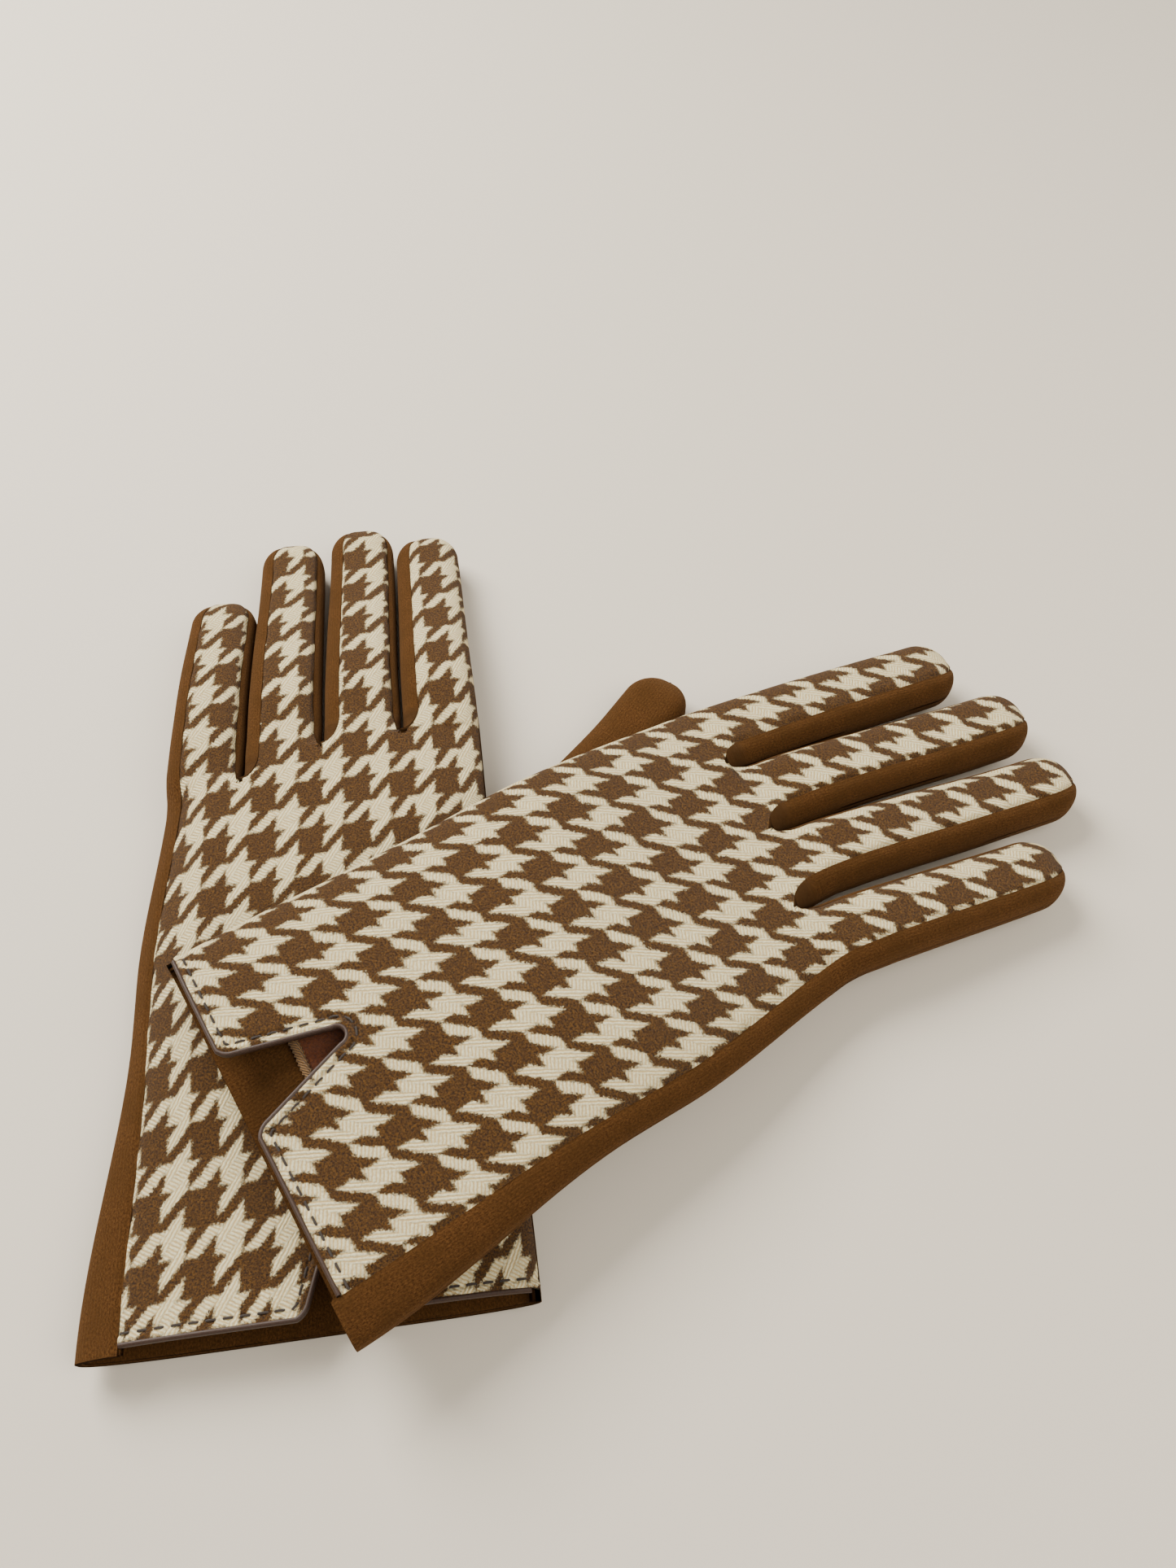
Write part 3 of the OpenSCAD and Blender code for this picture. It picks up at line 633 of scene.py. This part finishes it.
# ---------- materials ----------
class Nodes:
    """A small writer for shader nodes."""

    def __init__(self, name):
        self.material = bpy.data.materials.new(name)
        self.material.use_nodes = True
        self.tree = self.material.node_tree
        self.shader = next(n for n in self.tree.nodes if n.type == "BSDF_PRINCIPLED")
        flat = self.node("ShaderNodeAttribute")
        flat.attribute_name = "flat"
        self.flat = flat.outputs["Vector"]
        split = self.node("ShaderNodeSeparateXYZ")
        self.tree.links.new(self.flat, split.inputs[0])
        self.x, self.y = split.outputs[0], split.outputs[1]

    def node(self, kind):
        return self.tree.nodes.new(kind)

    def put(self, socket, value):
        if isinstance(value, bpy.types.NodeSocket):
            self.tree.links.new(value, socket)
        else:
            socket.default_value = value

    def math(self, operation, a, b=0.0):
        n = self.node("ShaderNodeMath")
        n.operation = operation
        self.put(n.inputs[0], a)
        if operation not in ("SINE", "COSINE", "ABSOLUTE", "SQRT", "FLOOR"):
            self.put(n.inputs[1], b)
        return n.outputs[0]

    def combine(self, x, y):
        n = self.node("ShaderNodeCombineXYZ")
        self.put(n.inputs[0], x)
        self.put(n.inputs[1], y)
        return n.outputs[0]

    def noise(self, vector, scale, detail=2.0, rough=0.5):
        n = self.node("ShaderNodeTexNoise")
        self.put(n.inputs["Vector"], vector)
        n.inputs["Scale"].default_value = scale
        n.inputs["Detail"].default_value = detail
        n.inputs["Roughness"].default_value = rough
        return n.outputs["Fac"]

    def ramp(self, value, low, high, to_low=0.0, to_high=1.0):
        n = self.node("ShaderNodeMapRange")
        n.interpolation_type = "SMOOTHSTEP"
        for k, socket in enumerate((value, low, high, to_low, to_high)):
            self.put(n.inputs[k], socket)
        return n.outputs[0]

    def blend(self, share, a, b):
        n = self.node("ShaderNodeMix")
        n.data_type = "RGBA"
        self.put(n.inputs["Factor"], share)
        self.put(n.inputs[6], a)
        self.put(n.inputs[7], b)
        return n.outputs[2]

    def bump(self, height, distance, strength=1.0, normal=None):
        n = self.node("ShaderNodeBump")
        n.inputs["Strength"].default_value = strength
        n.inputs["Distance"].default_value = distance
        self.put(n.inputs["Height"], height)
        if normal is not None:
            self.put(n.inputs["Normal"], normal)
        return n.outputs["Normal"]

    def set(self, **sockets):
        for name, value in sockets.items():
            self.put(self.shader.inputs[name.replace("_", " ")], value)


def srgb(r, g, b):
    """A colour from its 8-bit screen values."""
    def linear(c):
        c = c / 255
        return c / 12.92 if c <= 0.04045 else ((c + 0.055) / 1.055) ** 2.4

    return (linear(r), linear(g), linear(b), 1.0)


def check_wool():
    """Brushed houndstooth: bands of four and four threads, the cream drawn narrower than the brown."""
    m = Nodes("check_wool")
    across, along = 12.4, 14.8
    swapped = m.combine(m.math("ADD", m.y, 91.0), m.x)
    drift = m.math("MULTIPLY", m.math("SUBTRACT", m.noise(m.flat, 0.07, 1.0), 0.5), 3.0)
    fuzz_x = m.math("MULTIPLY", m.math("SUBTRACT", m.noise(m.flat, 1.2, 5.0, 0.8), 0.5), 3.4)
    fuzz_y = m.math("MULTIPLY", m.math("SUBTRACT", m.noise(swapped, 1.2, 5.0, 0.8), 0.5), 3.4)
    px = m.math("MULTIPLY", m.math("ADD", m.x, m.math("ADD", fuzz_x, drift)), 8 / across)
    py = m.math("MULTIPLY", m.math("ADD", m.y, fuzz_y), 8 / along)

    def band(value, period, share):
        """A soft-edged 1 in a band that takes that share of each period."""
        part = m.math("MULTIPLY", m.math("FRACT", m.math("DIVIDE", value, period)), period)
        near = m.math("ABSOLUTE", m.math("SUBTRACT", part, period / 4))
        far = m.math("ABSOLUTE", m.math("SUBTRACT", part, period * 1.25))
        edge = share * period / 2
        return m.ramp(m.math("MINIMUM", near, far), edge - 0.25, edge + 0.25, 1.0, 0.0)

    warp = band(px, 8.0, 0.43)
    weft = band(py, 8.0, 0.42)
    weft_top = band(m.math("ADD", m.math("SUBTRACT", px, py), 800.5), 4.0, 0.5)
    warp_top = m.math("SUBTRACT", 1.0, weft_top)
    light = m.math("ADD", m.math("MULTIPLY", weft, weft_top), m.math("MULTIPLY", warp, warp_top))
    # fine ribs of thread, leaning one way in the warp and the other in the weft
    loose = m.math("MULTIPLY", m.noise(m.flat, 0.9, 2.0), 4.0)
    ribs = [
        m.math("SINE", m.math("ADD", loose, m.math("ADD", m.math("MULTIPLY", m.x, 2 * math.pi / a),
                                                   m.math("MULTIPLY", m.y, 2 * math.pi / b))))
        for a, b in ((1.7, 0.95), (0.95, -1.7))
    ]
    thread = m.math("ADD", m.math("MULTIPLY", ribs[0], weft_top), m.math("MULTIPLY", ribs[1], warp_top))
    hair = m.noise(m.flat, 1.9, 5.0, 0.75)
    clump = m.noise(m.flat, 0.55, 4.0, 0.7)
    fibre = m.noise(swapped, 4.5, 3.0, 0.7)
    # painted shade: the cream is darker in the valleys of the thread ribs and lighter on their crests, as
    # light and shade fall on the twill
    cream = m.blend(m.ramp(thread, -1.0, 0.5), srgb(224, 194, 134), srgb(255, 246, 202))
    cream = m.blend(m.ramp(hair, 0.42, 0.66, 0.0, 0.6), cream, srgb(206, 172, 120))
    brown = m.blend(m.ramp(hair, 0.4, 0.6), srgb(36, 19, 2), srgb(104, 68, 18))
    brown = m.blend(m.ramp(clump, 0.4, 0.65, 0.0, 0.5), brown, srgb(58, 33, 5))
    brown = m.blend(m.ramp(fibre, 0.56, 0.72, 0.0, 0.5), brown, srgb(160, 116, 52))
    colour = m.blend(light, brown, cream)
    rib_height = m.math("MULTIPLY", thread, m.math("ADD", m.math("MULTIPLY", light, 0.16), 0.05))
    height = m.math("ADD", rib_height, m.math("ADD", hair, m.math("MULTIPLY", light, 0.2)))
    height = m.math("ADD", height, m.math("MULTIPLY", fibre, 0.5))
    m.set(Base_Color=colour, Roughness=1.0, Sheen_Weight=0.08, Sheen_Roughness=0.6,
          Specular_IOR_Level=0.05, Normal=m.bump(height, 0.0007, 1.0))
    return m.material


def suede_cloth():
    """Brushed jersey: fine ribs under a short nap."""
    m = Nodes("suede_cloth")
    wander = m.math("MULTIPLY", m.noise(m.flat, 0.15, 1.0), 1.5)
    wale = m.math("SINE", m.math("MULTIPLY", m.math("ADD", m.x, wander), 2 * math.pi / 0.95))
    hair = m.noise(m.combine(m.x, m.math("MULTIPLY", m.y, 0.6)), 2.6, 6.0, 0.8)
    cloud = m.noise(m.flat, 0.12, 3.0, 0.6)
    colour = m.blend(m.ramp(hair, 0.34, 0.66), srgb(44, 25, 9), srgb(94, 62, 31))
    colour = m.blend(m.ramp(cloud, 0.35, 0.65, 0.0, 0.45), colour, srgb(62, 40, 16))
    # painted shade: the cloth is darkened in the grooves between the wales
    colour = m.blend(m.ramp(wale, -1.0, 0.2, 0.12, 0.0), colour, srgb(34, 20, 8))
    height = m.math("ADD", m.math("MULTIPLY", wale, 0.08), hair)
    m.set(Base_Color=colour, Roughness=1.0, Sheen_Weight=0.18, Sheen_Roughness=0.5,
          Sheen_Tint=srgb(196, 150, 106), Specular_IOR_Level=0.05, Normal=m.bump(height, 0.0004, 0.9))
    return m.material


def fleece():
    m = Nodes("fleece")
    hair = m.noise(m.flat, 1.8, 6.0, 0.8)
    colour = m.blend(m.ramp(hair, 0.3, 0.7), srgb(84, 34, 6), srgb(150, 80, 28))
    m.set(Base_Color=colour, Roughness=1.0, Sheen_Weight=0.12, Normal=m.bump(hair, 0.0009, 1.0))
    return m.material


def piping():
    """Smooth leather-look edging with a fine grain."""
    m = Nodes("piping")
    grain = m.noise(m.flat, 2.4, 3.0, 0.6)
    colour = m.blend(m.ramp(grain, 0.3, 0.7), srgb(40, 25, 16), srgb(62, 42, 30))
    m.set(Base_Color=colour, Roughness=m.ramp(grain, 0.2, 0.8, 0.42, 0.55), Specular_IOR_Level=0.35,
          Normal=m.bump(grain, 0.0001, 0.5))
    return m.material


def thread(name, dark, light, turn):
    m = Nodes(name)
    ply = m.math("SINE", m.math("MULTIPLY", m.math("ADD", m.x, m.y), 2 * math.pi / turn))
    fuzz = m.noise(m.flat, 3.0, 4.0, 0.8)
    # the ply part of this share is painted shade and light: darker in the grooves between the plies, lighter
    # on their crests; the fuzz part is the thread's own uneven tone
    share = m.math("ADD", m.ramp(ply, -1.0, 1.0, 0.0, 0.6), m.math("MULTIPLY", fuzz, 0.4))
    height = m.math("ADD", ply, m.math("MULTIPLY", fuzz, 1.5))
    m.set(Base_Color=m.blend(share, dark, light), Roughness=0.85, Sheen_Weight=0.1,
          Normal=m.bump(height, 0.0003, 0.9))
    return m.material


WOOL = check_wool()
SUEDE = suede_cloth()
FLEECE = fleece()
PIPING = piping()
STITCH = thread("stitch_thread", srgb(36, 24, 14), srgb(78, 56, 38), 0.9)
OVERLOCK = thread("overlock_thread", srgb(70, 44, 16), srgb(176, 130, 72), 0.8)


# ---------- building ----------
def steps(lo, hi, step):
    return np.linspace(lo, hi, max(2, int(math.ceil((hi - lo) / step)) + 1))


def joined(*parts):
    return np.unique(np.round(np.concatenate(parts), 5))


def edge_path(off):
    """The back's cuff edge and the notch's, moved out by off: points [v, u] and outward ways."""
    us = joined(steps(0.3, 2.9, 0.2), steps(2.9, NOTCH_D, 1.0), steps(NOTCH_D, NOTCH_D + 2.62, 0.15))
    half = notch_half(us)
    left = np.stack([-NOTCH_OFF - half, us], -1)
    right = np.stack([-NOTCH_OFF + half, us], -1)[::-1]
    e, s = thumb_edge(0.0) + 2.0, strip_v(0.0) - 0.3
    first_v = steps(e, left[0, 0] - 0.4, 1.2)
    first = np.stack([first_v, np.full_like(first_v, EDGE_U)], -1)
    last_v = steps(right[-1, 0] + 0.4, s, 1.2)
    last = np.stack([last_v, np.full_like(last_v, EDGE_U)], -1)
    path = np.concatenate([first, left, [[-NOTCH_OFF, NOTCH_D + 2.64]], right, last])
    way = np.gradient(path, axis=0)
    way = way / np.linalg.norm(way, axis=1, keepdims=True)
    out = np.stack([way[:, 1], -way[:, 0]], -1)
    return path + out * off, out


def on_top(side, v, u):
    """Height of the back's outer face."""
    x = (v - hand_c(u)) / hand_a(u)
    return hand_surface(side, u, angle_at(x, HAND_N))[2]


def resampled(path, step):
    length = np.concatenate([[0], np.cumsum(np.linalg.norm(np.diff(path, axis=0), axis=1))])
    at = np.arange(step / 2, length[-1], step)
    return np.stack([np.interp(at, length, path[:, k]) for k in range(2)], -1), at, length


def cuff_binding(side):
    mesh = Mesh(side)
    path, out = edge_path(0.3)
    z = on_top(side, path[:, 0], np.maximum(path[:, 1], 0.3)) - WEAVE_T / 2 + 0.05
    points = np.column_stack([path, z])
    ways = np.column_stack([out, np.zeros(len(out))])
    ups = np.tile([0.0, 0.0, 1.0], (len(out), 1))
    mesh.tube(points, ways, ups, 0.6, 1.05, 14)
    return mesh.build(f"{side}_cuff_piping", PIPING)


def topstitches(side):
    """Separate stitches that dip into the cloth at both ends, a little inside the edge."""
    mesh = Mesh(side)
    path, _ = edge_path(-STITCH_IN)
    middles, at, length = resampled(path, STITCH_PITCH)
    for k, start in enumerate(at):
        reach = np.linspace(start - STITCH_LEN / 2, start + STITCH_LEN / 2, 9)
        v, u = (np.interp(reach, length, path[:, n]) for n in range(2))
        bow = np.linspace(-1, 1, 9) ** 2
        z = on_top(side, v, u) - 0.1 - 0.55 * bow**2
        points = np.column_stack([v, u, z])
        way = np.gradient(points, axis=0)
        flat_way = way[:, :2] / np.linalg.norm(way[:, :2], axis=1, keepdims=True)
        across = np.column_stack([flat_way[:, 1], -flat_way[:, 0], np.zeros(9)])
        ups = np.tile([0.0, 0.0, 1.0], (9, 1))
        mesh.tube(points, across, ups, 0.27, 0.24, 8)
    return mesh.build(f"{side}_topstitching", STITCH)


def overlock(side):
    """The overcast seam at the hem's inner end: a looped thread over a bead."""
    mesh = Mesh(side)
    c, a = hand_c(HEM_D), hand_a(HEM_D)
    v = np.linspace(c - 0.8 * a, c + 0.8 * a, 480)
    u = np.full_like(v, HEM_D + 1.0)
    x = (v - hand_c(u)) / hand_a(u)
    floor_z = hand_surface(side, u, -angle_at(x, HAND_N), SUEDE_T)[2]
    ripple = 0.5 + 0.5 * np.cos(2 * math.pi * v / 1.15)
    floor_z = floor_z + rise_at_notch(v, u, -np.ones_like(v))
    points = np.column_stack([v, u + 0.18 * np.sin(v / 1.9), floor_z + 2.0])
    across = np.tile([0.0, 1.0, 0.0], (len(v), 1))
    ups = np.tile([0.0, 0.0, 1.0], (len(v), 1))
    mesh.tube(points, across, ups, 0.95 + 0.35 * ripple, 0.85 + 0.3 * ripple, 10)
    return mesh.build(f"{side}_overlock", OVERLOCK)


HAND_ROWS = joined(
    steps(0.3, 5, 0.4), steps(5, 21, 1.0), steps(21, NOTCH_D + 2.65, 0.25),
    steps(NOTCH_D + 2.65, 32, 0.8), steps(32, KNUCKLE_U, 1.6),
)
TIP_S = FINGER_ROUND * (math.pi / 2 - 0.004)


def cloth_piece(side, name, grids, t, material):
    mesh = Mesh(side)
    for surface, rows, cols in grids:
        mesh.grid(surface, rows, cols, t)
    obj = mesh.build(f"{side}_{name}", material)
    return obj


def build_hand(side):
    hand = f"{side}_hand"
    toward_notch = joined(np.linspace(0, 0.9, 46), np.linspace(0.9, 1, 14))
    from_notch = joined(np.linspace(0, 0.12, 14), np.linspace(0.12, 0.94, 40), np.linspace(0.94, 1, 8))
    round_edge = joined(np.linspace(0, 0.05, 10), np.linspace(0.05, 1, 90))
    back = cloth_piece(side, "hand_back", [
        (back_panel(side, 0), HAND_ROWS, toward_notch),
        (back_panel(side, 1), HAND_ROWS, from_notch),
    ], WEAVE_T, WOOL)
    palm_rows = joined([-PALM_PAST], steps(-PALM_PAST + 0.4, KNUCKLE_U, 1.8))
    palm = cloth_piece(side, "hand_palm", [(palm_panel(side), palm_rows, round_edge)],
                       SUEDE_T, SUEDE)
    hem_rows = steps(-PALM_PAST + EDGE_U, HEM_D, 1.5)
    hem = cloth_piece(side, "palm_turnup", [(palm_hem(side), hem_rows, round_edge)],
                      SUEDE_T - 0.1, SUEDE)
    sleeve = cloth_piece(side, "fleece_lining", [(lining(side), steps(0, 1, 0.025), np.linspace(0, 1, 120))],
                         FLEECE_T, FLEECE)
    cup = cloth_piece(side, "gusset", [(gusset(side), np.linspace(0.0, 0.97, 16), np.linspace(0, 1, 50))],
                      min(SUEDE_T, 0.3 * THUMB_H[side]), SUEDE)
    edging = cuff_binding(side)
    stitches = topstitches(side)
    seam = overlock(side)
    for obj in (back, palm, hem, sleeve, cup, edging, stitches, seam):
        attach(obj, hand)
    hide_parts(f"{side}_back_panel")
    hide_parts(f"{side}_palm_panel")
    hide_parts(f"{side}_palm_hem")
    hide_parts(f"{side}_lining")
    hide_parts(f"{side}_thumb_gusset")
    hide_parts(f"{side}_cuff_binding")
    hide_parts(f"{side}_cuff_threads")
    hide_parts(f"{side}_cuff_threads")


def build_finger(side, i):
    name = FINGERS[i]
    turn = LEAN[side][i]

    def along(s):
        return spot(side, root_v(i) + s * math.sin(turn), root_u(i) + s * math.cos(turn), HAND_H / 2)

    near = joined(steps(KNUCKLE_U - root_u(i), -5, 1.2), steps(-5, 6, 0.4), steps(6, KNUCKLE_S, 1.0))
    far = joined(steps(KNUCKLE_S, FINGER_LEN[i] - FINGER_ROUND, 1.2),
                 FINGER_LEN[i] - FINGER_ROUND + steps(0, TIP_S, 0.6))
    wide = joined(np.linspace(0, 0.08, 6), np.linspace(0.08, 0.92, 22), np.linspace(0.92, 1, 6))
    panels = {"back": (["back"], WOOL, "check_wool"), "palm": (["palm"], SUEDE, "suede_cloth")}
    walls = [w for w in ("thumb_side", "little_side") if not (i == 0 and w == "thumb_side")]
    walls = [w for w in walls if not (i == 3 and w == "little_side")]
    panels["sides"] = (walls, SUEDE, "suede_cloth")
    for kind, (names, material, slot) in panels.items():
        near_grids = []
        for panel in names:
            rows = near
            if panel == "little_side":
                rows = joined([crotch_u(i) - root_u(i)], near[near > crotch_u(i) - root_u(i)])
            if panel == "thumb_side":
                rows = joined([crotch_u(i - 1) - root_u(i)], near[near > crotch_u(i - 1) - root_u(i)])
            near_grids.append((knuckle(side, i, panel), rows, wide))
        far_grids = [(finger_panel(side, i, panel), far, wide) for panel in names]
        k = cloth_piece(side, f"{name}_knuckle_{kind}", near_grids, SUEDE_T, material)
        f = cloth_piece(side, f"{name}_finger_{kind}", far_grids, SUEDE_T, material)
        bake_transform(k)
        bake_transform(f)
    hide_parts(f"{side}_{name}_back")
    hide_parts(f"{side}_{name}_palm")
    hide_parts(f"{side}_{name}_sides", f"{side}_finger_webs")
    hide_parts(f"{side}_{name}_tip_back")
    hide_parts(f"{side}_{name}_tip_palm")
    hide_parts(f"{side}_{name}_tip_palm")


def build_thumb(side):
    turn = THUMB_TURN[side]

    def along(s):
        return spot(side, -THUMB_OFF + s * math.sin(turn), THUMB_FROM + s * math.cos(turn), THUMB_H[side] / 2)

    t = min(SUEDE_T, 0.3 * THUMB_H[side])
    around = np.linspace(0, 1, 61)
    near = cloth_piece(side, "thumb_root_sleeve", [(thumb_tube(side), steps(-CLEAR, KNUCKLE_S, 0.8), around)],
                       t, SUEDE)
    last = THUMB_LEN - FINGER_ROUND
    far_rows = joined(steps(KNUCKLE_S, last, 1.2), last + steps(0, TIP_S, 0.6))
    far = cloth_piece(side, "thumb_sleeve", [(thumb_tube(side), far_rows, around)], t, SUEDE)
    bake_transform(near)
    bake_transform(far)
    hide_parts(f"{side}_thumb_base")
    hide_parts(f"{side}_thumb_tip")


for glove in SIDES:
    build_hand(glove)
    build_thumb(glove)
    for finger in range(4):
        build_finger(glove, finger)


# ---------- stage ----------
def floor_and_lights():
    bpy.ops.mesh.primitive_plane_add(size=6, location=(0, 0, -0.0002))
    floor = bpy.context.object
    floor.name = "table"
    n = Nodes("table_top")
    n.set(Base_Color=srgb(206, 196, 180), Roughness=0.7)
    floor.data.materials.append(n.material)
    world = bpy.data.worlds.new("room")
    bpy.context.scene.world = world
    world.use_nodes = True
    background = world.node_tree.nodes["Background"]
    background.inputs["Color"].default_value = (1.0, 0.96, 0.9, 1.0)
    background.inputs["Strength"].default_value = 0.55
    lamps = (
        ("window", (-0.5, 0.75, 0.8), 0.7, 30.0, (1.0, 0.98, 0.93)),
        ("room_light", (0.7, -0.3, 0.9), 0.9, 12.0, (1.0, 0.96, 0.88)),
    )
    for name, place, size, power, colour in lamps:
        data = bpy.data.lights.new(name, "AREA")
        data.size = size
        data.energy = power
        data.color = colour
        lamp = bpy.data.objects.new(name, data)
        lamp.location = place
        bpy.context.scene.collection.objects.link(lamp)
        aim = -np.array(place) + np.array([0.0, 0.12, 0.0])
        lamp.rotation_euler = (
            math.atan2(math.hypot(aim[0], aim[1]), -aim[2]), 0, math.atan2(-aim[0], aim[1]),
        )


def camera():
    data = bpy.data.cameras.new("camera")
    data.sensor_width = 36
    data.lens = 27.09
    eye = bpy.data.objects.new("camera", data)
    eye.location = (0.048, -0.0517, 0.282)
    eye.rotation_euler = (math.radians(33.7), 0, math.radians(-7.5))
    bpy.context.scene.collection.objects.link(eye)
    bpy.context.scene.camera = eye


floor_and_lights()
camera()
